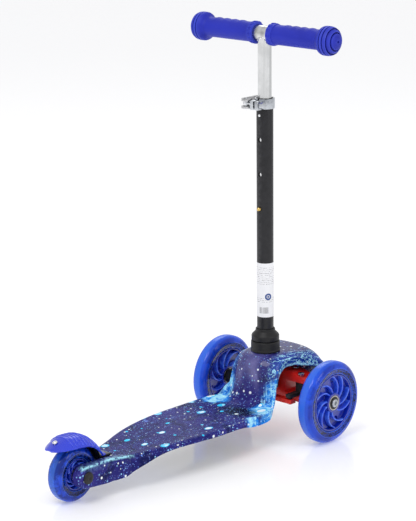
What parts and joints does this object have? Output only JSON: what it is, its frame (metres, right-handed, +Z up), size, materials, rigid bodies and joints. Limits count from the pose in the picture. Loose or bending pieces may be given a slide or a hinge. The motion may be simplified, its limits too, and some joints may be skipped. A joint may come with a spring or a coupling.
{
  "type": "kick scooter",
  "caption": "Child's three-wheeled kick scooter with a printed deck, lean-to-steer front axle, telescopic T-bar and rear foot brake.",
  "frame": {"origin": "on the ground, under the middle of the scooter's bounding box", "axes": "+X the way it rides, +Y the rider's left, +Z up"},
  "size_m": [0.521, 0.262, 0.6044],
  "materials": {
    "printed_shell": "glossy printed film under lacquer",
    "black_plastic": "moulded black nylon",
    "tube_coat": "satin black powder coat",
    "alloy": "polished",
    "zinc_steel": "zinc plated",
    "brass": "plain",
    "blue_rubber": "soft matte",
    "clear_blue_pu": "translucent cast polyurethane",
    "blue_hub": "satin moulded nylon",
    "blue_cover": "satin moulded nylon",
    "red_nylon": "moulded nylon",
    "label_paper": "printed paper label"
  },
  "bodies": {
    "deck": {"deck_shell": "printed_shell", "deck_base": "black_plastic", "deck_screw_1": "zinc_steel", "deck_screw_2": "zinc_steel", "deck_screw_3": "zinc_steel", "deck_screw_4": "zinc_steel", "deck_screw_5": "zinc_steel", "stem_socket": "black_plastic", "collar_lower": "black_plastic", "collar_upper": "black_plastic", "outer_tube": "tube_coat", "stem_label": "label_paper", "guide_bushing": "black_plastic", "clamp_ring": "alloy", "clamp_bolt": "zinc_steel", "clamp_nut": "zinc_steel", "lever_pin": "zinc_steel", "lean_pivot_bolt": "zinc_steel", "lean_pivot_nut": "zinc_steel", "lean_spring_left": "zinc_steel", "lean_spring_right": "zinc_steel", "steering_pin": "zinc_steel", "rear_axle": "zinc_steel", "axle_cap_left": "black_plastic", "axle_cap_right": "black_plastic", "brake_pin": "zinc_steel"},
    "beam": {"axle_beam": "red_nylon", "kingpin_left": "zinc_steel", "kingpin_right": "zinc_steel"},
    "tie_rod": {"tie_rod": "red_nylon"},
    "knuckle_left": {"knuckle_left": "black_plastic", "front_axle_bolt_left": "zinc_steel"},
    "knuckle_right": {"knuckle_right": "black_plastic", "front_axle_bolt_right": "zinc_steel"},
    "wheel_left": {"front_left_tyre": "clear_blue_pu", "front_left_hub": "blue_hub", "front_left_bearing_inner": "zinc_steel", "front_left_bearing_outer": "zinc_steel", "front_left_spacer": "alloy"},
    "wheel_right": {"front_right_tyre": "clear_blue_pu", "front_right_hub": "blue_hub", "front_right_bearing_inner": "zinc_steel", "front_right_bearing_outer": "zinc_steel", "front_right_spacer": "alloy"},
    "wheel_rear": {"rear_tyre": "clear_blue_pu", "rear_hub": "blue_hub", "rear_bearing_inner": "zinc_steel", "rear_bearing_outer": "zinc_steel", "rear_spacer": "alloy"},
    "brake": {"brake_cover": "blue_cover", "brake_shoe": "black_plastic", "brake_screw": "alloy"},
    "t_bar": {"inner_tube": "alloy", "crossbar": "alloy", "grip_left": "blue_rubber", "grip_right": "blue_rubber", "snap_spring": "zinc_steel"},
    "button": {"snap_button": "brass"},
    "lever": {"clamp_lever": "alloy"}
  },
  "joints": [
    {"name": "lean", "type": "hinge", "parent": "deck", "child": "beam", "pos_m": [0.201, 0, 0.08], "axis": [1, 0, 0], "range_deg": [-10, 10], "stiffness_Nm_per_rad": 25, "deforming": ["lean_spring_left", "lean_spring_right"]},
    {"name": "steer_left", "type": "hinge", "parent": "beam", "child": "knuckle_left", "pos_m": [0.201, 0.05, 0.07], "axis": [0, 0, 1], "range_deg": [-10, 10]},
    {"name": "steer_right", "type": "hinge", "parent": "beam", "child": "knuckle_right", "pos_m": [0.201, -0.05, 0.07], "axis": [0, 0, 1], "range_deg": [-10, 10]},
    {"name": "tie_rod_slide", "type": "slide", "parent": "beam", "child": "tie_rod", "axis": [0, 1, 0], "range_m": [-0.0044, 0.0044]},
    {"name": "spin_left", "type": "hinge", "parent": "knuckle_left", "child": "wheel_left", "pos_m": [0.201, 0.1, 0.06], "axis": [0, 1, 0], "continuous": true},
    {"name": "spin_right", "type": "hinge", "parent": "knuckle_right", "child": "wheel_right", "pos_m": [0.201, -0.1, 0.06], "axis": [0, 1, 0], "continuous": true},
    {"name": "spin_rear", "type": "hinge", "parent": "deck", "child": "wheel_rear", "pos_m": [-0.217, 0, 0.0385], "axis": [0, 1, 0], "continuous": true},
    {"name": "brake_press", "type": "hinge", "parent": "deck", "child": "brake", "pos_m": [-0.166, 0, 0.0485], "axis": [0, -1, 0], "range_deg": [0, 2.7], "stiffness_Nm_per_rad": 2, "springref_deg": -5.73},
    {"name": "height_slide", "type": "slide", "parent": "deck", "child": "t_bar", "axis": [-0.0175, 0, 0.9998], "range_m": [0, 0.1], "deforming": ["snap_button"]},
    {"name": "button_press", "type": "slide", "parent": "t_bar", "child": "button", "axis": [0.9998, 0, 0.0175], "range_m": [0, 0.0052], "stiffness_N_per_m": 600, "springref_m": -0.001, "deforming": ["snap_spring"]},
    {"name": "lever_swing", "type": "hinge", "parent": "deck", "child": "lever", "pos_m": [0.15493, 0.019, 0.48511], "axis": [-0.0175, 0, 0.9998], "range_deg": [0, 150]}
  ],
  "couplings": [
    {"joint": "steer_left", "follows": "lean", "ratio": 1},
    {"joint": "steer_right", "follows": "lean", "ratio": 1},
    {"joint": "tie_rod_slide", "follows": "lean", "m_per_rad": -0.025}
  ]
}
